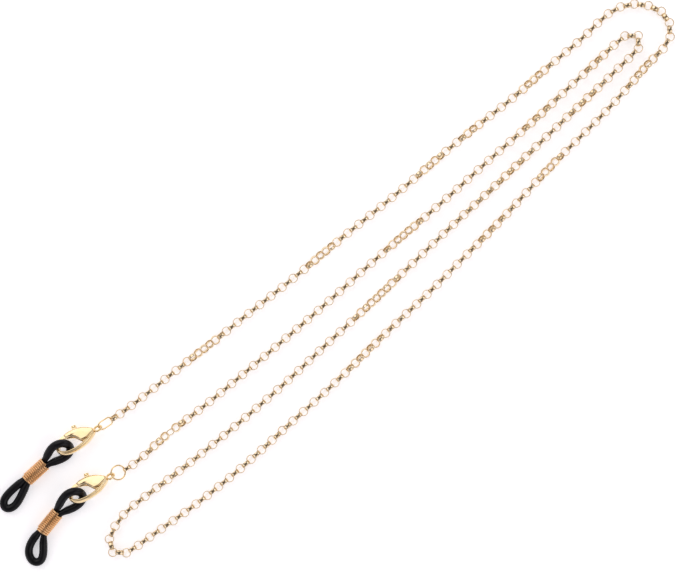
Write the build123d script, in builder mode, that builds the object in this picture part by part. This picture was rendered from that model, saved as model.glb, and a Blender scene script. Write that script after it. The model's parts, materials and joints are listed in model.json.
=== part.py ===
"""Eyeglasses chain strap: a rolo chain with a lobster clasp and a rubber temple loop at each end.

Millimetres, +Z up.  The strap lies folded in four strands on the plane z = 0.
+X runs to the right along the strands' fold, +Y away from the wearer's end.
"""
import os
from math import cos, pi, radians, sin, tan

from build123d import *

os.makedirs("parts", exist_ok=True)

# ---- Chain ---------------------------------------------------------------
LINK_OUTER_D = 2.20         # outside diameter of a link
LINK_WALL = 0.22            # thickness of the link's band at its middle
LINK_BAND = 0.86            # width of the band
BAND_HOLLOW = 0.11          # the inner face widens by this towards the band's edges
BAND_EDGE = 0.055           # thickness left at the band's edges
LINK_PITCH = 1.655          # wanted distance between neighbouring link centres
RUNS = 40                   # lengths of chain, each kept in a node of its own
SEAM_LINK = 403             # the soldered closing link, round wire instead of band

# ---- Jump rings ----------------------------------------------------------
RING_WIRE_R = 0.20
ROUND_RING_R = 1.68         # centreline radius of the round ring
OVAL_RING_HALF = 1.80       # half length of the oval ring's centreline
OVAL_RING_R = 0.92          # centreline radius of the oval ring's ends
RING_SEAT = 0.33            # ring wire's distance from the centre of the clasp's eye

# ---- Lobster clasp -------------------------------------------------------
CLASP_T = 2.20              # thickness over both cheeks
CASTING_EDGE_R = 0.15       # rounded edges of the casting
SLOT_T = 1.00               # slot between the cheeks
LEVER_T = 0.90              # lever inside the slot
GATE_T = 1.30               # lever's gate, outside the cheeks
EYE_R = 0.90                # centreline radius of the tail eye
EYE_WIRE_R = 0.28
EYE_TWIST = 32              # the eye is cast turned out of the clasp's plane
RIVET_R = 0.35
RIVET_AT = (4.10, 0.70)
RIVET_GAP = 0.03            # running clearance of the lever on its rivet
SPRING_R = 0.32
SPRING_WIRE_R = 0.06
SPRING_LENGTH = 0.60
SPRING_TURNS = 3
CLASP_HEADING = 206         # from the tail eye to the hook, degrees from +X
CLASP_TILT = 26             # the clasp lies with its hook side raised off the cord
CLASP_Z = 2.05              # height of the clasp's axis above the table

# ---- Rubber loops and wire coils -----------------------------------------
CORD_R = 0.96               # rubber cord
NECK_R = 1.22               # where the coil squeezes both strands together
COIL_WIRE_R = 0.21
COIL_TURNS = 12
COIL_LENGTH = 6.2
COIL_INNER_R = 1.25
COIL_Z = COIL_INNER_R + 2 * COIL_WIRE_R + 0.01
MOUTH_GAP = 0.65            # the strands start just clear of the coil's end turns
STRAND_OFFSET = 0.50        # the two strands, squeezed together, at the coil's mouth
NECK_HALF = COIL_LENGTH / 2 + 0.9


def corner_radii(points):
    """The largest even arcs: 0.45 of the shorter run over the tangent of half the turn."""
    radii = []
    for before, corner, after in zip(points, points[1:], points[2:]):
        run_in = Vector(*corner) - Vector(*before)
        run_out = Vector(*after) - Vector(*corner)
        half_turn = radians(run_in.get_angle(run_out)) / 2
        radii.append(0.45 * min(run_in.length, run_out.length) / tan(half_turn))
    return radii


def save(part, node):
    part.label = node
    export_step(part, f"parts/{node}.step")


# ---- The chain's route: centre of the strand, point by point --------------
# Points are given on the lay-out sheet; CENTRE moves the sheet's middle to the origin.
CENTRE = Vector(-0.75, 0.50, 0)
CHAIN_Z = LINK_OUTER_D / 2
STRAND_1 = [(-52.85, -31.05), (-46.8, -26.7), (-38.0, -19.7), (-29.1, -12.8), (-20.3, -5.8),
            (-11.4, 1.2), (-2.8, 8.4), (6.0, 15.5), (14.7, 22.6), (23.2, 29.9),
            (31.9, 37.1), (40.8, 44.1), (49.2, 51.5), (57.8, 58.8)]
OUTER_BEND = [(61.8, 62.7), (64.8, 64.7), (68.4, 65.7), (72.2, 65.3), (75.6, 63.6),
              (77.3, 60.2), (76.9, 57.2), (73.9, 53.6)]
STRAND_2 = [(67.6, 46.6), (60.0, 38.4), (52.0, 30.5), (44.2, 22.3), (36.5, 14.1), (28.6, 6.1),
            (20.6, -1.9), (12.4, -9.6), (4.4, -17.4), (-3.8, -25.3), (-12.1, -32.8),
            (-20.4, -40.4), (-29.1, -47.7), (-38.0, -54.4), (-47.2, -60.9)]
LOWER_BEND = [(-50.5, -62.8), (-53.0, -62.6), (-54.0, -60.5), (-53.3, -57.7), (-51.3, -54.5)]
STRAND_3 = [(-46.3, -50.0), (-37.2, -43.2), (-28.4, -36.2), (-19.8, -29.0), (-11.3, -21.5),
            (-3.1, -13.8), (5.2, -6.2), (13.4, 1.6), (21.5, 9.4), (29.7, 17.1), (37.9, 24.7),
            (46.0, 32.5), (54.2, 40.3), (62.4, 48.1), (66.2, 51.8), (69.4, 54.9)]
INNER_BEND = [(70.4, 57.2), (69.3, 58.6), (67.7, 58.7), (65.3, 57.2)]
STRAND_4 = [(59.5, 51.8), (51.3, 44.1), (43.0, 36.4), (34.6, 29.0), (26.2, 21.4), (17.7, 14.1),
            (9.1, 6.7), (0.7, -0.8), (-7.7, -8.2), (-16.3, -15.5), (-24.9, -22.7),
            (-33.7, -29.8), (-42.5, -36.8), (-47.1, -41.0), (-49.82, -42.9)]
ROUTE = STRAND_1 + OUTER_BEND + STRAND_2 + LOWER_BEND + STRAND_3 + INNER_BEND + STRAND_4

# How far the links are rolled about the strand, in degrees, at distances along it
ROLL = [(0, 75), (6, 90), (18, 90), (27, 135), (34, 180), (54, 180), (62, 135), (70, 180),
        (88, 180), (95, 215), (102, 180), (107, 145), (113, 180), (119, 180), (126, 140),
        (134, 180), (172, 180), (179, 215), (187, 180), (204, 180), (211, 135), (219, 180),
        (232, 200), (240, 180), (262, 185), (272, 205), (284, 180), (300, 172), (323, 180),
        (357, 180), (372, 190), (391, 180), (425, 180), (437, 225), (449, 180), (470, 190),
        (480, 200), (493, 180), (503, 200), (514, 180), (530, 180), (537, 200), (544, 180),
        (556, 205), (566, 180), (588, 180), (597, 225), (606, 180), (660, 180), (670, 140),
        (678, 178), (700, 178)]


def roll_at(distance):
    for (start, low), (end, high) in zip(ROLL, ROLL[1:]):
        if distance <= end:
            share = (distance - start) / (end - start)
            return low + (high - low) * (1 - cos(pi * share)) / 2
    return ROLL[-1][1]


def link_plane(centre, along, roll):
    """The plane of one link: it holds the strand's direction and is rolled about it."""
    up = Vector(0, 0, 1)
    side = up.cross(along).normalized()
    normal = up * cos(radians(roll)) + side * sin(radians(roll))
    return Plane(origin=centre, x_dir=along, z_dir=normal)


with BuildLine() as chain_line:
    route_curve = Spline([Vector(x, y, CHAIN_Z) - CENTRE for x, y in ROUTE])

LINKS = 2 * round(route_curve.length / LINK_PITCH / 2)
pitch = route_curve.length / (LINKS - 1)
print("chain", round(route_curve.length, 1), "mm,", LINKS, "links, pitch", round(pitch, 4))


def point_on_route(index):
    return route_curve.position_at(index * pitch, position_mode=PositionMode.LENGTH)


def link_places():
    """Even links sit on the route; odd links lie straight between their two neighbours."""
    even = {i: point_on_route(i) for i in range(0, LINKS, 2)}
    places = []
    for i in range(LINKS):
        roll = roll_at(i * pitch) + (90 if i % 2 else 0)
        if i % 2 == 0:
            tangent = route_curve.tangent_at(i * pitch, position_mode=PositionMode.LENGTH)
            places.append(link_plane(even[i], tangent, roll))
        elif i < LINKS - 1:
            along = (even[i + 1] - even[i - 1]).normalized()
            places.append(link_plane((even[i + 1] + even[i - 1]) / 2, along, roll))
        else:
            tangent = route_curve.tangent_at(1)
            places.append(link_plane(point_on_route(i), tangent, roll))
    return places


link_outer_r = LINK_OUTER_D / 2
link_inner_r = link_outer_r - LINK_WALL
edge_inner_r = link_inner_r + BAND_HOLLOW
edge_outer_r = edge_inner_r + BAND_EDGE
half_band = LINK_BAND / 2

with BuildPart() as link:
    with BuildSketch(Plane.XZ):
        with BuildLine():
            ThreePointArc((edge_inner_r, -half_band), (link_inner_r, 0), (edge_inner_r, half_band))
            Line((edge_inner_r, half_band), (edge_outer_r, half_band))
            ThreePointArc((edge_outer_r, half_band), (link_outer_r, 0), (edge_outer_r, -half_band))
            Line((edge_outer_r, -half_band), (edge_inner_r, -half_band))
        make_face()
    revolve(axis=Axis.Z)

with BuildPart() as seam_link:
    with BuildSketch(Plane.XZ):
        with Locations((link_inner_r + LINK_WALL / 2, 0)):
            Circle(LINK_WALL / 2)
    revolve(axis=Axis.Z)

places = link_places()
run_ends = [round(i * LINKS / RUNS) for i in range(RUNS + 1)]
for number in range(1, RUNS + 1):
    first, last = run_ends[number - 1], run_ends[number]
    run_links = [link.part.moved(places[i].location) for i in range(first, last) if i != SEAM_LINK]
    save(Compound(children=run_links), f"chain_run_{number:02d}")
save(seam_link.part.moved(places[SEAM_LINK].location), "chain_seam_link")

# ---- Lobster clasp, in its own frame -------------------------------------
# Origin at the tail eye's centre, +X towards the hook's front, +Y towards the thumb nub.
with BuildPart() as clasp_body:
    with BuildSketch(Plane.XY.offset(-CLASP_T / 2)):
        with BuildLine():
            Spline((0.95, 0.42), (2.0, 1.15), (3.4, 1.85), (5.2, 2.25), (7.0, 2.15), (7.95, 1.85))
            Line((7.95, 1.85), (7.75, 1.30))
            Spline((7.75, 1.30), (6.9, 1.15), (5.8, 0.55), (4.75, -0.75), (4.9, -1.35))
            Spline((4.9, -1.35), (6.4, -1.85), (8.2, -1.95), (9.5, -1.50), (10.05, -0.72))
            Line((10.05, -0.72), (10.85, -0.72))
            Spline((10.85, -0.72), (10.65, -1.75), (9.6, -2.55), (7.6, -2.85), (5.0, -2.65),
                   (2.9, -1.90), (1.6, -0.95), (0.95, -0.42))
            Line((0.95, -0.42), (0.95, 0.42))
        make_face()
    extrude(amount=CLASP_T)
    fillet(edges().group_by(Axis.Z)[-1] + edges().group_by(Axis.Z)[0], CASTING_EDGE_R)
    # slot for the lever, open along the upper edge and into the hook
    with BuildSketch(Plane.XY.offset(-SLOT_T / 2)):
        Polygon((2.7, 3.0), (2.7, 0.5), (3.0, -0.2), (4.3, -1.5), (8.1, 0.2), (8.1, 3.0), align=None)
    extrude(amount=SLOT_T, mode=Mode.SUBTRACT)
    # casting hole beside the tail
    with BuildSketch(Plane.XY.offset(-CLASP_T)):
        with Locations(Location((1.75, -0.25), 60)):
            SlotOverall(0.95, 0.55)
    extrude(amount=2 * CLASP_T, mode=Mode.SUBTRACT)
    with Locations((*RIVET_AT, 0)):
        Cylinder(RIVET_R + 0.01, 2 * CLASP_T, mode=Mode.SUBTRACT)
    # tail eye, cast on a short neck and turned about it
    with BuildSketch(Plane.YZ.offset(0.6)):
        Circle(0.42)
    extrude(amount=0.6)
    eye_plane = Plane.XY.rotated((EYE_TWIST, 0, 0))
    with Locations(eye_plane):
        Cylinder(EYE_R - EYE_WIRE_R, 2 * CLASP_T, mode=Mode.SUBTRACT)
        Torus(EYE_R, EYE_WIRE_R)

with BuildPart() as gate_lever:
    with BuildSketch(Plane.XY.offset(-LEVER_T / 2)):
        with BuildLine():
            Spline((10.80, -0.62), (10.50, 0.45), (9.4, 1.45), (8.2, 1.95), (7.0, 2.12),
                   (5.60, 2.15))
            Line((5.60, 2.15), (5.45, 2.75))
            ThreePointArc((5.45, 2.75), (5.05, 3.15), (4.65, 2.75))
            Line((4.65, 2.75), (4.70, 2.05))
            Spline((4.70, 2.05), (3.75, 1.50), (3.42, 0.70), (3.80, 0.05), (4.50, 0.05),
                   (5.3, 0.75), (6.6, 1.30), (7.9, 1.30), (9.1, 0.75), (9.85, -0.05),
                   (10.10, -0.62))
            Line((10.10, -0.62), (10.80, -0.62))
        make_face()
    extrude(amount=LEVER_T)
    with BuildSketch(Plane.XY.offset(-GATE_T / 2)) as gate_outline:
        with BuildLine():
            Spline((10.80, -0.62), (10.50, 0.45), (9.4, 1.45), (8.35, 1.90))
            Line((8.35, 1.90), (8.15, 1.28))
            Spline((8.15, 1.28), (9.1, 0.75), (9.85, -0.05), (10.10, -0.62))
            Line((10.10, -0.62), (10.80, -0.62))
        make_face()
    extrude(amount=GATE_T)
    # thumb nub: a round stud wider than the lever
    with BuildSketch(Plane.XZ.offset(-2.70)):
        with Locations((5.05, 0)):
            Circle(0.62)
    extrude(amount=-0.55)
    with Locations((*RIVET_AT, 0)):
        Cylinder(RIVET_R + RIVET_GAP, 2 * CLASP_T, mode=Mode.SUBTRACT)

with BuildPart() as rivet:
    with BuildSketch(Plane.XY.offset(-CLASP_T / 2)):
        with Locations(RIVET_AT):
            Circle(RIVET_R)
    extrude(amount=CLASP_T)


# return spring between the slot's rear wall and the lever's heel
with BuildPart() as return_spring:
    with BuildLine() as spring_line:
        Helix(pitch=SPRING_LENGTH / SPRING_TURNS, height=SPRING_LENGTH, radius=SPRING_R,
              center=(2.78, 1.0, 0), direction=(1, 0, 0))
    with BuildSketch(Plane(spring_line.line @ 0, z_dir=spring_line.line % 0)):
        Circle(SPRING_WIRE_R)
    sweep(is_frenet=True)


def clasp_plane(eye_at):
    """The clasp's frame on the table: face down the hook side is raised by the cord under it."""
    forward = Vector(cos(radians(CLASP_HEADING)), sin(radians(CLASP_HEADING)), 0)
    nub_way = Vector(0, 0, -1).cross(forward)
    facing = Vector(0, 0, -cos(radians(CLASP_TILT))) - nub_way * sin(radians(CLASP_TILT))
    return Plane(origin=Vector(*eye_at, CLASP_Z) - CENTRE, x_dir=forward, z_dir=facing)


# ---- Jump rings -----------------------------------------------------------
def ring_plane(eye_at, heading, span, roll):
    """Centred between the clasp's eye and the first link, and rolled about that line."""
    way = Vector(cos(radians(heading)), sin(radians(heading)), 0)
    near = Vector(*eye_at, CLASP_Z) + way * RING_SEAT
    far = Vector(*eye_at, CHAIN_Z) + way * (RING_SEAT + span)
    along = (far - near).normalized()
    side = Vector(0, 0, 1).cross(along).normalized()
    normal = along.cross(side) * cos(radians(roll)) + side * sin(radians(roll))
    return Plane(origin=(near + far) / 2 - CENTRE, x_dir=along, z_dir=normal)


with BuildPart() as round_ring:
    Torus(ROUND_RING_R, RING_WIRE_R)

with BuildPart() as oval_ring:
    straight = OVAL_RING_HALF - OVAL_RING_R
    with BuildLine() as oval_line:
        Line((-straight, -OVAL_RING_R), (straight, -OVAL_RING_R))
        ThreePointArc((straight, -OVAL_RING_R), (OVAL_RING_HALF, 0), (straight, OVAL_RING_R))
        Line((straight, OVAL_RING_R), (-straight, OVAL_RING_R))
        ThreePointArc((-straight, OVAL_RING_R), (-OVAL_RING_HALF, 0), (-straight, -OVAL_RING_R))
    with BuildSketch(Plane(oval_line.line @ 0, z_dir=oval_line.line % 0)):
        Circle(RING_WIRE_R)
    sweep()


# ---- Wire coil: close turns round the neck, along X -------------------------
turn = COIL_LENGTH / COIL_TURNS
with BuildPart() as coil:
    with BuildSketch(Plane.XY):
        with BuildLine():
            for i in range(COIL_TURNS):
                left = -COIL_LENGTH / 2 + i * turn
                ThreePointArc((left, COIL_INNER_R + COIL_WIRE_R),
                              (left + turn / 2, COIL_INNER_R + 2 * COIL_WIRE_R),
                              (left + turn, COIL_INNER_R + COIL_WIRE_R))
            Line((COIL_LENGTH / 2, COIL_INNER_R + COIL_WIRE_R), (COIL_LENGTH / 2, COIL_INNER_R))
            Line((COIL_LENGTH / 2, COIL_INNER_R), (-COIL_LENGTH / 2, COIL_INNER_R))
            Line((-COIL_LENGTH / 2, COIL_INNER_R), (-COIL_LENGTH / 2, COIL_INNER_R + COIL_WIRE_R))
        make_face()
    revolve(axis=Axis.X)


# ---- Rubber loop: one closed cord, pinched in the middle by the coil --------
def neck_plane(end):
    way = Vector(cos(radians(end["coil_heading"])), sin(radians(end["coil_heading"])), 0)
    return Plane(origin=Vector(*end["coil_at"], COIL_Z) - CENTRE, x_dir=way, z_dir=(0, 0, 1))


def on_plan(end, point):
    """A point given along and across the clasp, as a point of the lay-out sheet."""
    along, across, height = point
    forward = Vector(cos(radians(CLASP_HEADING)), sin(radians(CLASP_HEADING)), 0)
    nub_way = Vector(0, 0, -1).cross(forward)
    return tuple(Vector(*end["eye_at"]) + forward * along + nub_way * across + Vector(0, 0, height))


def loop_points(end, side, middle):
    """A loop's route: out of one strand at the coil's mouth, round, and back into the other."""
    plane = neck_plane(end)
    mouth = side * (COIL_LENGTH / 2 + MOUTH_GAP)
    start = plane.from_local_coords((mouth, STRAND_OFFSET, 0))
    finish = plane.from_local_coords((mouth, -STRAND_OFFSET, 0))
    loop = [tuple(Vector(*point) - CENTRE) for point in middle]
    return [tuple(start), *loop, tuple(finish)]


def rubber_loop(end):
    """Each loop is swept in two halves, because its two ends merge at the coil's mouth."""
    with BuildPart() as rubber:
        hook_loop = [on_plan(end, point) for point in end["hook_loop"]]
        for side, middle in ((-1, end["temple_loop"]), (1, hook_loop)):
            points = loop_points(end, side, middle)
            radii = corner_radii(points)
            print(end["name"], "rubber radii", [round(r, 2) for r in radii])
            half = len(points) // 2
            meeting = (Vector(*points[half - 1]) + Vector(*points[half])) / 2
            for corners, bends in (
                ([*points[:half], meeting], radii[:half - 1]),
                ([meeting, *points[half:]], radii[half - 1:]),
            ):
                with BuildLine() as path:
                    FilletPolyline(*corners, radius=bends)
                with BuildSketch(Plane(path.line @ 0, z_dir=path.line % 0)):
                    Circle(CORD_R)
                sweep(path=path.line)
        neck = neck_plane(end)
        with BuildSketch(Plane(neck.from_local_coords((-NECK_HALF, 0, 0)), z_dir=neck.x_dir)):
            Circle(NECK_R)
        extrude(amount=2 * NECK_HALF)
    print(end["name"], "rubber", rubber.part.is_valid, len(rubber.part.solids()),
          round(rubber.part.volume, 1))
    return rubber.part


# Over the gate, down through the hook and under its arm; the hook loop's points are
# distances along and across the clasp from its eye, and the height above the table
CROSSING = [(9.7, 1.0, 3.95), (7.8, 0.2, 3.44), (7.6, -1.3, 1.02), (8.9, -2.65, 0.96)]

ENDS = [
    {
        "name": "left",
        "eye_at": (-56.6, -33.5), "ring_heading": 33, "ring_roll": -14,
        "ring": oval_ring, "ring_span": 2 * OVAL_RING_HALF,
        "coil_at": (-71.0, -43.6), "coil_heading": 42.3,
        "temple_loop": [(-77.0, -48.1, 1.1), (-79.0, -50.4, 0.96), (-78.5, -52.5, 0.96),
                        (-76.3, -52.2, 0.96), (-74.7, -49.7, 1.0)],
        "hook_loop": [(11.95, 0.6, 3.1), *CROSSING, (11.15, -2.8, 0.97)],
    },
    {
        "name": "right",
        "eye_at": (-53.65, -44.68), "ring_heading": 25, "ring_roll": -8,
        "ring": round_ring, "ring_span": 2 * ROUND_RING_R,
        "coil_at": (-67.8, -55.4), "coil_heading": 50.8,
        "temple_loop": [(-72.3, -60.0, 1.1), (-73.1, -62.5, 0.96), (-72.1, -64.8, 0.96),
                        (-70.2, -65.0, 0.96), (-69.2, -63.1, 0.97)],
        "hook_loop": [(12.1, 0.42, 3.2), *CROSSING, (11.5, -3.0, 0.97)],
    },
]

for end in ENDS:
    on_clasp = clasp_plane(end["eye_at"]).location
    on_ring = ring_plane(end["eye_at"], end["ring_heading"], end["ring_span"], end["ring_roll"])
    side = end["name"]
    save(clasp_body.part.moved(on_clasp), f"{side}_clasp_body")
    save(gate_lever.part.moved(on_clasp), f"{side}_gate_lever")
    save(rivet.part.moved(on_clasp), f"{side}_lever_rivet")
    save(return_spring.part.moved(on_clasp), f"{side}_return_spring")
    save(end["ring"].part.moved(on_ring.location), f"{side}_jump_ring")
    save(coil.part.moved(neck_plane(end).location), f"{side}_wire_coil")
    save(rubber_loop(end), f"{side}_rubber_loop")
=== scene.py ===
"""Looks of the eyeglasses chain strap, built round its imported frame. Metres, +Z up."""
import json
import math
import random

import bmesh
import bpy
import numpy as np
from mathutils import Matrix, Vector


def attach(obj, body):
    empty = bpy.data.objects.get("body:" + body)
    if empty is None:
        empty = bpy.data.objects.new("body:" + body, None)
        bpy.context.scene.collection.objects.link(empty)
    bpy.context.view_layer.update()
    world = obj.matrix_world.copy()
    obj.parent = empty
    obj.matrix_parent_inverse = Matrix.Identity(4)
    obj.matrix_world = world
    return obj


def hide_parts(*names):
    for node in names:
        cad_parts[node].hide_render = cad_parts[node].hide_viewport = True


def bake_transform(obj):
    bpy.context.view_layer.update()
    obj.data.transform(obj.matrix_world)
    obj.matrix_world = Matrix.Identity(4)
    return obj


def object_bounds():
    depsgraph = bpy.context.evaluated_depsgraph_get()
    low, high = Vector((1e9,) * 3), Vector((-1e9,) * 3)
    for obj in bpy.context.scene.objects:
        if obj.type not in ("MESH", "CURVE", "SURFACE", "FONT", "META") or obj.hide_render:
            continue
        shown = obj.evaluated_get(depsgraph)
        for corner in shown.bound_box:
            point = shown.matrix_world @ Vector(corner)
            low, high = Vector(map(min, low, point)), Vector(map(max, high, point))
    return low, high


MM = 0.001

# ---- View -----------------------------------------------------------------
VIEW_WIDTH = 159.2 * MM             # width of table that the picture shows
VIEW_CENTRE = (0.63 * MM, -0.73 * MM)
LENS = 110
SENSOR = 36
TABLE_GLOW = 0.52
TABLE_HALF = 4.0
BOX_DISTANCE = 0.8

# ---- Chain ----------------------------------------------------------------
LINK_OUTER_R = 1.10 * MM
LINK_INNER_R = 0.88 * MM
LINK_DOME = 0.055 * MM              # how far the band's outer face is crowned
LINK_HOLLOW = 0.11 * MM             # and its inner face
LINK_HALF_BAND = 0.43 * MM
LINK_SEGMENTS = 34
SEAM_HALF_ANGLE = 0.035             # of the closed cut in each link
SEAM_DEPTH = 0.90                   # section left at the cut
SOLDER_WIRE_R = 0.13 * MM           # the round closing link

# ---- Rings and coils --------------------------------------------------------
RING_WIRE_R = 0.20 * MM
RING_CUT = 0.03 * MM                # gap where a jump ring closes
COIL_TURNS = 12
COIL_LENGTH = 6.2 * MM
COIL_OUTER_R = 1.67 * MM
COIL_WIRE_R = 0.255 * MM

# ---- Rubber ------------------------------------------------------------------
CORD_R = 0.96 * MM
STRAND_R = 0.72 * MM                # one strand squeezed inside the coil
STRAND_OFFSET = 0.50 * MM
SWELL = 1.9 * MM                    # distance from the coil at which a strand is full again
CLASP_HEADING = math.radians(206)   # on the table, from the tail eye to the hook

# ---- Clasps, in millimetres along and across from the tail eye ---------------
CLASP_TILT = math.radians(26)       # the hook side is raised by the cord under it
CLASP_HEIGHT = 2.05
CHEEK_BACK = [(0.95, 0.42), (2.0, 1.15), (3.4, 1.85), (5.2, 2.25), (7.0, 2.15), (7.95, 1.85)]
CHEEK_MOUTH = [(7.75, 1.30), (6.9, 1.15), (5.8, 0.55), (4.75, -0.75)]
CHEEK_FOOT = [(4.35, -1.20), (3.0, -1.15), (1.8, -0.72), (0.95, -0.42)]
CHEEK_MIDDLE = (4.3, 0.95)
CHEEK_RISE = [(1.0, 0.52), (1.0, 0.84), (0.985, 0.95), (0.95, 1.03), (0.88, 1.08), (0.7, 1.13),
              (0.45, 1.18), (0.2, 1.20)]    # share of the outline, height over the middle
WEB = [(0.95, 0.40), (2.0, 1.10), (2.6, 1.40), (2.7, 0.5), (3.0, -0.2), (4.2, -1.4), (3.0, -1.6),
       (1.8, -0.95), (0.95, -0.40)]
WEB_HALF = 0.56
ARM_LINE = [(1.25, -0.50), (2.2, -1.15), (3.5, -1.82), (5.1, -2.22), (7.0, -2.40), (8.7, -2.22),
            (9.85, -1.72), (10.38, -1.1), (10.45, -0.72)]
ARM_HALF_WIDTH = 0.43
ARM_HALF_THICK = 1.00
EYE_R = 0.90
EYE_WIRE_R = 0.30
EYE_TWIST = math.radians(32)

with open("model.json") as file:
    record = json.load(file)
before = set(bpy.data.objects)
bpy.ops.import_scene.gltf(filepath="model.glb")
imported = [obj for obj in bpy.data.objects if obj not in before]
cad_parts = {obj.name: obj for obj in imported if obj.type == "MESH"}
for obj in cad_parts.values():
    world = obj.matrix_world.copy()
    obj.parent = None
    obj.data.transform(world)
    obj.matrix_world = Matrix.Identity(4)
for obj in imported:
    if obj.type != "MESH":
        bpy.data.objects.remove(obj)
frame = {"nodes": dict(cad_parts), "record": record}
cad_low, cad_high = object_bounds()
behaviour = frame["record"]["behaviour"]
BODY = {node: body for body, nodes in behaviour["bodies"].items() for node in nodes}
dice = random.Random(11)


# ---- Reading the frame -------------------------------------------------------
def solids_of(node):
    """The points of each separate solid of a CAD node, as arrays."""
    mesh = bmesh.new()
    mesh.from_mesh(frame["nodes"][node].data)
    bmesh.ops.remove_doubles(mesh, verts=mesh.verts, dist=0.0005 * MM)
    found, seen = [], set()
    for start in mesh.verts:
        if start in seen:
            continue
        seen.add(start)
        queue, points = [start], []
        while queue:
            vertex = queue.pop()
            points.append(tuple(vertex.co))
            for edge in vertex.link_edges:
                other = edge.other_vert(vertex)
                if other not in seen:
                    seen.add(other)
                    queue.append(other)
        found.append(np.array(points))
    mesh.free()
    return found


def own_axes(points):
    """A solid's centre and its longest, middle and shortest directions."""
    centre = points.mean(0)
    axes = np.linalg.svd(points - centre, full_matrices=False)[2]
    low, high = ((points - centre) @ axes.T).min(0), ((points - centre) @ axes.T).max(0)
    return Vector(centre + (low + high) / 2 @ axes), [Vector(axis) for axis in axes]


# ---- Mesh helpers --------------------------------------------------------------
def mesh_piece(name, points, faces, material):
    data = bpy.data.meshes.new(name)
    data.from_pydata([tuple(p) for p in points], [], faces)
    data.polygons.foreach_set("use_smooth", [True] * len(data.polygons))
    data.materials.append(material)
    data.update()
    piece = bpy.data.objects.new(name, data)
    bpy.context.scene.collection.objects.link(piece)
    return piece


def grid_faces(rows, columns, first=0, closed=False):
    """Faces of a tube whose rows are closed rings of points."""
    faces = []
    for r in range(rows if closed else rows - 1):
        a, b = first + r * columns, first + (r + 1) % rows * columns
        for c in range(columns):
            d = (c + 1) % columns
            faces.append((a + c, a + d, b + d, b + c))
    return faces


def tube(points, radii, sides, closed=False):
    """A round tube along points, as (points, faces); its open ends are rounded over."""
    points = [Vector(p) for p in points]
    count = len(points)
    ways = []
    for i in range(count):
        before = points[i - 1] if closed or i else points[0]
        after = points[(i + 1) % count] if closed or i < count - 1 else points[-1]
        ways.append((after - before).normalized())
    side = ways[0].orthogonal().normalized()
    frames = []
    for i in range(count):
        side = (side - ways[i] * side.dot(ways[i])).normalized()
        frames.append((side.copy(), ways[i].cross(side)))
    if closed:
        slip = math.atan2(frames[0][1].dot(side), frames[0][0].dot(side))
    else:
        slip = 0
    rings = []
    for i in range(count):
        rings.append((points[i], radii[i], frames[i], slip * i / count))
    if not closed:
        first, last = rings[0], rings[-1]
        for share in (0.5, 0.85):
            rings.insert(0, (points[0], radii[0] * math.cos(share), first[2], 0))
            rings[0] = (points[0] - ways[0] * radii[0] * 0.12 * share, *rings[0][1:])
            rings.append((points[-1] + ways[-1] * radii[-1] * 0.12 * share,
                          radii[-1] * math.cos(share), last[2], last[3]))
    out = []
    for centre, radius, (u, v), turn in rings:
        for k in range(sides):
            angle = 2 * math.pi * k / sides - turn
            out.append(centre + (u * math.cos(angle) + v * math.sin(angle)) * radius)
    faces = grid_faces(len(rings), sides, closed=closed)
    if not closed:
        faces.append(tuple(reversed(range(sides))))
        faces.append(tuple(range(len(out) - sides, len(out))))
    return out, faces


def smooth_line(points, resolution=12):
    """Points along the NURBS spline that has the given control points."""
    data = bpy.data.curves.new("line", "CURVE")
    data.dimensions = "3D"
    data.resolution_u = resolution
    spline = data.splines.new("NURBS")
    spline.points.add(len(points) - 1)
    for at, point in zip(spline.points, points):
        at.co = (*point, 1)
    spline.order_u = 4
    spline.use_endpoint_u = True
    holder = bpy.data.objects.new("line", data)
    mesh = bpy.data.meshes.new_from_object(holder)
    line = [vertex.co.copy() for vertex in mesh.vertices]
    bpy.data.objects.remove(holder)
    bpy.data.meshes.remove(mesh)
    return line


def finish_piece(piece, node):
    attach(piece, BODY[node])
    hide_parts(node)


# ---- Materials --------------------------------------------------------------------
def new_material(name):
    material = bpy.data.materials.new(name)
    material.use_nodes = True
    nodes, links = material.node_tree.nodes, material.node_tree.links
    return material, nodes, links, nodes["Principled BSDF"]


def noise(nodes, links, scale, detail, roughness=0.5):
    where = nodes.new("ShaderNodeTexCoord")
    texture = nodes.new("ShaderNodeTexNoise")
    texture.inputs["Scale"].default_value = scale
    texture.inputs["Detail"].default_value = detail
    texture.inputs["Roughness"].default_value = roughness
    links.new(where.outputs["Object"], texture.inputs["Vector"])
    return texture.outputs["Fac"]


def spread(nodes, links, value, low, high, to_low, to_high):
    """Maps low..high of a value to to_low..to_high."""
    node = nodes.new("ShaderNodeMapRange")
    node.inputs["From Min"].default_value = low
    node.inputs["From Max"].default_value = high
    node.inputs["To Min"].default_value = to_low
    node.inputs["To Max"].default_value = to_high
    links.new(value, node.inputs["Value"])
    return node.outputs["Result"]


def tones(nodes, links, value, stops):
    """A colour ramp over a value: stops are (place, colour)."""
    ramp = nodes.new("ShaderNodeValToRGB")
    elements = ramp.color_ramp.elements
    while len(elements) < len(stops):
        elements.new(0.5)
    for element, (place, colour) in zip(elements, stops):
        element.position = place
        element.color = (*colour, 1)
    links.new(value, ramp.inputs["Fac"])
    return ramp.outputs["Color"]


def mixed(nodes, links, kind, share, first, second):
    mix = nodes.new("ShaderNodeMix")
    mix.data_type = "RGBA"
    mix.blend_type = kind
    mix.inputs["Factor"].default_value = share
    links.new(first, mix.inputs["A"])
    links.new(second, mix.inputs["B"])
    return mix.outputs["Result"]


def bump(nodes, links, shader, height, strength, distance):
    node = nodes.new("ShaderNodeBump")
    node.inputs["Strength"].default_value = strength
    node.inputs["Distance"].default_value = distance
    links.new(height, node.inputs["Height"])
    links.new(node.outputs["Normal"], shader.inputs["Normal"])


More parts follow.
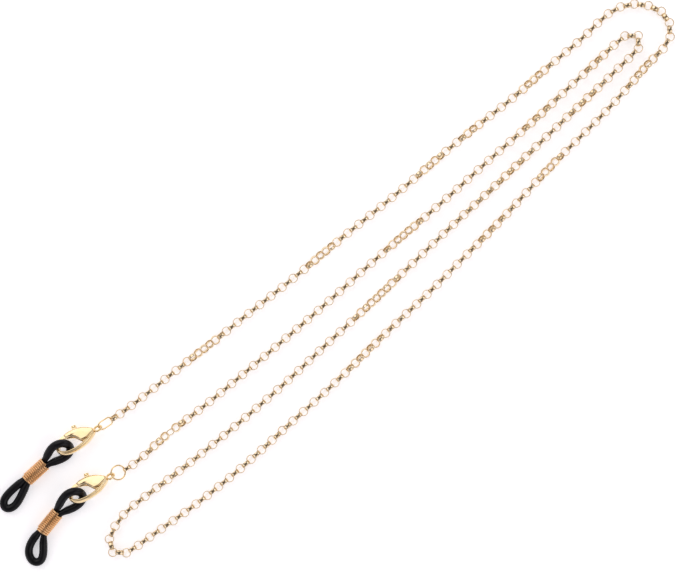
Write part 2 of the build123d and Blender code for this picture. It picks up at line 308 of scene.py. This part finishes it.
def plated(name, pale, deep, hollow_shade, polish, dulled):
    """Polished plate: drifting tone, painted shade darkening the hollows while edges keep the plain
    tone, hairlines.
    """
    material, nodes, links, shader = new_material(name)
    shader.inputs["Metallic"].default_value = 1
    drift = noise(nodes, links, 420, 3)
    tone = tones(nodes, links, drift, [(0.35, pale), (0.68, deep)])
    shape = nodes.new("ShaderNodeNewGeometry")
    # Painted shade: concave places (low pointiness) are multiplied by the darker hollow colour, convex
    # edges keep the plain tone.
    hollow_shade_mask = tones(nodes, links, shape.outputs["Pointiness"],
                  [(0.42, hollow_shade), (0.50, (1, 1, 1)), (0.60, (1, 1, 1))])
    links.new(mixed(nodes, links, "MULTIPLY", 1, tone, hollow_shade_mask), shader.inputs["Base Color"])
    smear = noise(nodes, links, 1900, 4, 0.6)
    links.new(spread(nodes, links, smear, 0.3, 0.7, polish, dulled), shader.inputs["Roughness"])
    hairlines = noise(nodes, links, 9000, 3, 0.7)
    bump(nodes, links, shader, hairlines, 0.12, 0.01 * MM)
    return material


def rubber_material():
    """Moulded rubber cord: near black, satin, with dust-dulled patches and a fine grain."""
    material, nodes, links, shader = new_material("black_rubber")
    patches = noise(nodes, links, 700, 4, 0.6)
    black = tones(nodes, links, patches, [(0.3, (0.0015, 0.0015, 0.003)), (0.7, (0.005, 0.005, 0.008))])
    links.new(black, shader.inputs["Base Color"])
    links.new(spread(nodes, links, patches, 0.3, 0.7, 0.30, 0.44), shader.inputs["Roughness"])
    shader.inputs["Specular IOR Level"].default_value = 0.22
    shader.inputs["Coat Weight"].default_value = 0.05
    shader.inputs["Coat Roughness"].default_value = 0.35
    grain = noise(nodes, links, 6500, 5, 0.65)
    bump(nodes, links, shader, grain, 0.22, 0.02 * MM)
    return material


# The third colour of each plate is the painted shade multiplied into its hollows.
CHAIN_GOLD = plated("chain_gold", (0.98, 0.86, 0.64), (0.92, 0.77, 0.53), (0.70, 0.57, 0.43),
                    0.12, 0.22)
CLASP_GOLD = plated("clasp_gold", (0.96, 0.78, 0.49), (0.88, 0.67, 0.37), (0.62, 0.44, 0.27),
                    0.15, 0.28)
RING_GOLD = plated("ring_gold", (0.96, 0.78, 0.50), (0.92, 0.70, 0.40), (0.74, 0.58, 0.42),
                   0.14, 0.26)
COIL_METAL = plated("coil_metal", (0.84, 0.52, 0.27), (0.73, 0.41, 0.18), (0.54, 0.33, 0.18),
                    0.17, 0.30)
SPRING_STEEL = plated("spring_steel", (0.62, 0.62, 0.63), (0.54, 0.54, 0.56), (0.6, 0.6, 0.6),
                      0.22, 0.36)
RUBBER = rubber_material()


# ---- Chain --------------------------------------------------------------------------
def link_section():
    """The band's section as (radius, height) round its outline, outer face first."""
    outline = []
    for share in (-0.92, -0.62, -0.22, 0.22, 0.62, 0.92):
        outline.append((LINK_OUTER_R - LINK_DOME * share ** 2, LINK_HALF_BAND * share))
    middle = (LINK_OUTER_R - LINK_DOME + LINK_INNER_R + LINK_HOLLOW) / 2
    outline.append((middle, LINK_HALF_BAND))
    for share in (0.86, 0, -0.86):
        outline.append((LINK_INNER_R + LINK_HOLLOW * share ** 2, LINK_HALF_BAND * share))
    outline.append((middle, -LINK_HALF_BAND))
    return outline


def round_section():
    middle = (LINK_OUTER_R + LINK_INNER_R) / 2
    around = [2 * math.pi * k / 12 for k in range(12)]
    return [(middle + SOLDER_WIRE_R * math.cos(a), SOLDER_WIRE_R * math.sin(a)) for a in around]


def ring_of_section(section, centre, u, v, seam):
    """One link: the section turned about u x v, slightly pinched where its ends were closed."""
    normal = u.cross(v)
    mid_r = sum(r for r, h in section) / len(section)
    angles = [seam - SEAM_HALF_ANGLE, seam, seam + SEAM_HALF_ANGLE]
    rest = 2 * math.pi - 2 * SEAM_HALF_ANGLE
    for i in range(1, LINK_SEGMENTS):
        angles.append(seam + SEAM_HALF_ANGLE + rest * i / LINK_SEGMENTS)
    points = []
    for number, angle in enumerate(angles):
        way = u * math.cos(angle) + v * math.sin(angle)
        size = SEAM_DEPTH if number == 1 else 1
        for radius, height in section:
            points.append(centre + way * (mid_r + (radius - mid_r) * size) + normal * height * size)
    return points


def chain_links(node, section):
    points, faces = [], []
    for solid in solids_of(node):
        centre, (u, v, normal) = own_axes(solid)
        ring = ring_of_section(section, centre, u, normal.cross(u), dice.uniform(0, 2 * math.pi))
        faces += grid_faces(len(ring) // len(section), len(section), first=len(points), closed=True)
        points += ring
    piece = mesh_piece(node.replace("chain_", "links_"), points, faces, CHAIN_GOLD)
    finish_piece(piece, node)


# ---- Jump rings and wire coils --------------------------------------------------------
def jump_ring(side):
    node = f"{side}_jump_ring"
    centre, (u, v, normal) = own_axes(solids_of(node)[0])
    reach = solids_of(node)[0] - np.array(centre)
    half_u = np.abs(reach @ np.array(u)).max() - RING_WIRE_R
    half_v = np.abs(reach @ np.array(v)).max() - RING_WIRE_R
    straight = half_u - half_v
    cut = RING_CUT / half_v / 2
    count = 96
    line = []
    for i in range(count + 1):
        angle = 0.8 * math.pi + cut + (2 * math.pi - 2 * cut) * i / count
        shift = math.copysign(straight, math.cos(angle))
        line.append(centre + u * (shift + half_v * math.cos(angle)) + v * half_v * math.sin(angle))
    points, faces = tube(line, [RING_WIRE_R] * len(line), 16)
    piece = mesh_piece(f"{side}_ring_wire", points, faces, RING_GOLD)
    finish_piece(piece, node)


def coil_frame(side):
    """The coil's centre, its direction towards the clasp, and the two directions across it."""
    centre, axes = own_axes(solids_of(f"{side}_wire_coil")[0])
    way = axes[0].normalized()
    if way.x < 0:
        way = -way
    way = Vector((way.x, way.y, 0)).normalized()
    return centre, way, Vector((-way.y, way.x, 0)), Vector((0, 0, 1))


def wire_coil(side):
    centre, way, across, up = coil_frame(side)
    radius = COIL_OUTER_R - COIL_WIRE_R
    travel = COIL_LENGTH - 2 * COIL_WIRE_R
    steps = COIL_TURNS * 44
    line = []
    for i in range(steps + 1):
        share = i / steps
        # the outermost turns lie closer, pressed against their neighbours
        pressed = share + 0.006 * math.sin(2 * math.pi * share)
        angle = 2 * math.pi * (COIL_TURNS - 0.8) * share + 0.6
        line.append(centre + way * travel * (pressed - 0.5)
                    + (across * math.cos(angle) + up * math.sin(angle)) * radius)
    points, faces = tube(line, [COIL_WIRE_R] * len(line), 14)
    piece = mesh_piece(f"{side}_coil_wire", points, faces, COIL_METAL)
    finish_piece(piece, f"{side}_wire_coil")


# ---- Rubber loops -----------------------------------------------------------------------
def on_table(x, y, z):
    """A point of the lay-out sheet, in millimetres, in the frame."""
    return Vector((x + 0.75, y - 0.50, z)) * MM


def clasp_ways():
    """On the table: from a clasp's tail eye to its hook, and across towards its nub."""
    forward = Vector((math.cos(CLASP_HEADING), math.sin(CLASP_HEADING), 0))
    return forward, Vector((forward.y, -forward.x, 0))


def by_clasp(eye_at, along, across, height):
    """A point given along and across a clasp from its tail eye."""
    forward, nub_way = clasp_ways()
    raised = Vector((0, 0, height * MM))
    return on_table(*eye_at, 0) + (forward * along + nub_way * across) * MM + raised


CROSSING = [(9.7, 1.0, 3.95), (7.8, 0.2, 3.44), (7.6, -1.3, 1.02), (8.9, -2.65, 0.96)]
LOOPS = {
    "left": {
        "eye_at": (-56.6, -33.5),
        "temple": [(-77.0, -48.1, 1.1), (-79.0, -50.4, 0.96), (-78.5, -52.5, 0.96),
                   (-76.3, -52.2, 0.96), (-74.7, -49.7, 1.0)],
        "hook": [(11.95, 0.6, 3.1), *CROSSING, (11.15, -2.8, 0.97)],
    },
    "right": {
        "eye_at": (-53.65, -44.68),
        "temple": [(-72.3, -60.0, 1.1), (-73.1, -62.5, 0.96), (-72.1, -64.8, 0.96),
                   (-70.2, -65.0, 0.96), (-69.2, -63.1, 0.97)],
        "hook": [(12.1, 0.42, 3.2), *CROSSING, (11.5, -3.0, 0.97)],
    },
}


def loop_piece(side, name, direction, middle):
    """One loop of the cord, from the middle of the coil out, round and back in."""
    centre, way, across, up = coil_frame(side)
    out = way * direction
    half = COIL_LENGTH / 2
    lead = [0, half * 0.55, half + 0.25 * MM]
    going = [centre + out * d + across * STRAND_OFFSET for d in lead]
    coming = [centre + out * d - across * STRAND_OFFSET for d in reversed(lead)]
    line = smooth_line([*going, *middle, *coming], 14)
    radii = []
    for point in line:
        beyond = (point - centre).dot(out) - half
        share = min(1, max(0, beyond / SWELL))
        radii.append(STRAND_R + (CORD_R - STRAND_R) * share * share * (3 - 2 * share))
    points, faces = tube(line, radii, 24)
    piece = mesh_piece(f"{side}_{name}", points, faces, RUBBER)
    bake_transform(piece)
    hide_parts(f"{side}_rubber_loop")


def rubber_loops(side):
    loops = LOOPS[side]
    loop_piece(side, "temple_loop", -1, [on_table(*point) for point in loops["temple"]])
    hook = [by_clasp(loops["eye_at"], *point) for point in loops["hook"]]
    loop_piece(side, "hook_loop", 1, hook)


# ---- Clasps ---------------------------------------------------------------------------------
def keep_node(node, material):
    part = frame["nodes"][node]
    part.data.materials.clear()
    part.data.materials.append(material)


def through(points, steps=6):
    """A smooth line through points of a plane."""
    points = [Vector(point) for point in points]
    line = []
    for i in range(len(points) - 1):
        a, b = points[i], points[i + 1]
        before = points[i - 1] if i else a * 2 - b
        after = points[i + 2] if i + 2 < len(points) else b * 2 - a
        for k in range(steps):
            t = k / steps
            line.append(((2 * a) + (b - before) * t + (2 * before - 5 * a + 4 * b - after) * t ** 2
                         + (3 * a - before - 3 * b + after) * t ** 3) / 2)
    return [*line, points[-1]]


def clasp_place(side):
    """The matrix of a clasp's own frame: along it, across it, and down through it."""
    forward, nub_way = clasp_ways()
    facing = Vector((0, 0, -math.cos(CLASP_TILT))) - nub_way * math.sin(CLASP_TILT)
    across = facing.cross(forward)
    place = Matrix((forward, across, facing)).transposed().to_4x4()
    place.translation = on_table(*LOOPS[side]["eye_at"], CLASP_HEIGHT)
    return place @ Matrix.Scale(MM, 4)


def cheek(outline, face):
    """One domed cheek, on the side of the middle that face (1 or -1) says."""
    middle = Vector(CHEEK_MIDDLE)
    points = []
    for share, height in CHEEK_RISE:
        points += [(*(middle + (point - middle) * share), height * face) for point in outline]
    faces = grid_faces(len(CHEEK_RISE), len(outline))
    faces.append(tuple(range(len(outline))))
    faces.append(tuple(range(len(points) - len(outline), len(points))))
    return points, faces


def slab(outline, half):
    count = len(outline)
    points = [(*point, height) for height in (-half, half) for point in outline]
    return points, [*grid_faces(2, count), tuple(range(count)), tuple(range(count, 2 * count))]


def arm():
    """The hook's arm: an oval bar along its line, narrowed and rounded at the tip."""
    line = through(ARM_LINE, 8)
    sides = 28
    points = []
    for i, centre in enumerate(line):
        way = (line[min(i + 1, len(line) - 1)] - line[max(i - 1, 0)]).normalized()
        normal = Vector((-way.y, way.x))
        to_end = (len(line) - 1 - i) / 3
        size = 1 if to_end >= 1 else 0.55 + 0.45 * math.sqrt(1 - (1 - to_end) ** 2)
        for k in range(sides):
            angle = 2 * math.pi * k / sides
            at = centre + normal * ARM_HALF_WIDTH * size * math.cos(angle)
            points.append((*at, ARM_HALF_THICK * size * math.sin(angle)))
    faces = grid_faces(len(line), sides)
    faces.append(tuple(range(sides)))
    faces.append(tuple(range(len(points) - sides, len(points))))
    return points, faces


def tail_eye():
    turn = Matrix.Rotation(EYE_TWIST, 3, "X")
    ring = [turn @ Vector((math.cos(a), math.sin(a), 0)) * EYE_R
            for a in (2 * math.pi * k / 64 for k in range(64))]
    return tube(ring, [EYE_WIRE_R] * len(ring), 18, closed=True)


def cast_piece(side, name, shapes):
    place = clasp_place(side)
    points, faces = [], []
    for more_points, more_faces in shapes:
        faces += [tuple(len(points) + index for index in face) for face in more_faces]
        points += [place @ Vector(point) for point in more_points]
    piece = mesh_piece(f"{side}_{name}", points, faces, CLASP_GOLD)
    mesh = bmesh.new()
    mesh.from_mesh(piece.data)
    bmesh.ops.recalc_face_normals(mesh, faces=mesh.faces)
    mesh.to_mesh(piece.data)
    mesh.free()
    piece.data.set_sharp_from_angle(angle=math.radians(40))
    finish_piece(piece, f"{side}_clasp_body")


def clasp(side):
    outline = [*through(CHEEK_BACK), *through(CHEEK_MOUTH), *through(CHEEK_FOOT)]
    web = [Vector(point) for point in WEB]
    cast_piece(side, "clasp_cheeks", [cheek(outline, 1), cheek(outline, -1), slab(web, WEB_HALF)])
    cast_piece(side, "clasp_hook", [arm(), tail_eye()])
    keep_node(f"{side}_gate_lever", CLASP_GOLD)
    keep_node(f"{side}_lever_rivet", CLASP_GOLD)
    keep_node(f"{side}_return_spring", SPRING_STEEL)


# ---- Stage ------------------------------------------------------------------------------------
def camera():
    data = bpy.data.cameras.new("camera")
    data.lens = LENS
    data.sensor_width = SENSOR
    data.clip_start = 0.01
    data.dof.use_dof = False
    view = bpy.data.objects.new("camera", data)
    view.location = (*VIEW_CENTRE, VIEW_WIDTH * LENS / SENSOR)
    bpy.context.scene.collection.objects.link(view)
    bpy.context.scene.camera = view


def floor():
    """A lit white table: it glows a little, so shadows on it stay pale."""
    material, nodes, links, shader = new_material("paper")
    fibres = noise(nodes, links, 900, 3)
    white = tones(nodes, links, fibres, [(0.3, (0.93, 0.925, 0.935)), (0.7, (0.95, 0.945, 0.955))])
    links.new(white, shader.inputs["Base Color"])
    shader.inputs["Roughness"].default_value = 0.8
    shader.inputs["Specular IOR Level"].default_value = 0.1
    shader.inputs["Emission Color"].default_value = (0.97, 0.965, 1.0, 1)
    shader.inputs["Emission Strength"].default_value = TABLE_GLOW
    z = cad_low.z
    half = TABLE_HALF
    corners = [(-half, -half, z), (half, -half, z), (half, half, z), (-half, half, z)]
    sheet = mesh_piece("paper", corners, [(0, 1, 2, 3)], material)


def softbox(name, azimuth, elevation, half_angle, radiance, colour):
    """A round softbox that looks at the object; azimuth is from +X, anticlockwise."""
    data = bpy.data.lights.new(name, "AREA")
    data.shape = "DISK"
    data.size = 2 * BOX_DISTANCE * math.tan(math.radians(half_angle))
    data.energy = radiance * math.pi * math.pi * (data.size / 2) ** 2
    data.color = colour
    turn, rise = math.radians(azimuth), math.radians(elevation)
    way = Vector((math.cos(turn) * math.cos(rise), math.sin(turn) * math.cos(rise), math.sin(rise)))
    light = bpy.data.objects.new(name, data)
    light.location = way * BOX_DISTANCE
    light.rotation_euler = way.to_track_quat("Z", "Y").to_euler()
    bpy.context.scene.collection.objects.link(light)


def studio():
    """Softboxes round the table in a dim room that is white only to the eye."""
    world = bpy.data.worlds.new("room")
    world.use_nodes = True
    bpy.context.scene.world = world
    nodes, links = world.node_tree.nodes, world.node_tree.links
    where = nodes.new("ShaderNodeTexCoord")
    split = nodes.new("ShaderNodeSeparateXYZ")
    links.new(where.outputs["Generated"], split.inputs["Vector"])
    room = tones(nodes, links, split.outputs["Z"],
                 [(0.0, (0.62, 0.60, 0.63)), (0.45, (0.42, 0.40, 0.42)),
                  (0.97, (0.10, 0.085, 0.08))])
    path = nodes.new("ShaderNodeLightPath")
    mix = nodes.new("ShaderNodeMix")
    mix.data_type = "RGBA"
    links.new(path.outputs["Is Camera Ray"], mix.inputs["Factor"])
    links.new(room, mix.inputs["A"])
    mix.inputs["B"].default_value = (1, 1, 1, 1)
    links.new(mix.outputs["Result"], nodes["Background"].inputs["Color"])
    softbox("key", 122, 44, 30, 1.12, (1.0, 0.985, 0.96))
    softbox("fill", -38, 42, 24, 1.0, (1.0, 0.97, 0.97))
    softbox("rim", 30, 30, 14, 1.3, (1.0, 0.99, 0.97))
    softbox("low", 215, 30, 16, 0.9, (0.97, 0.97, 1.0))
    view = bpy.context.scene.view_settings
    view.view_transform = "Standard"
    view.look = "None"


camera()
floor()
studio()
for name in sorted(frame["nodes"]):
    if name.startswith("chain_run"):
        chain_links(name, link_section())
chain_links("chain_seam_link", round_section())
for end in ("left", "right"):
    jump_ring(end)
    wire_coil(end)
    rubber_loops(end)
    clasp(end)
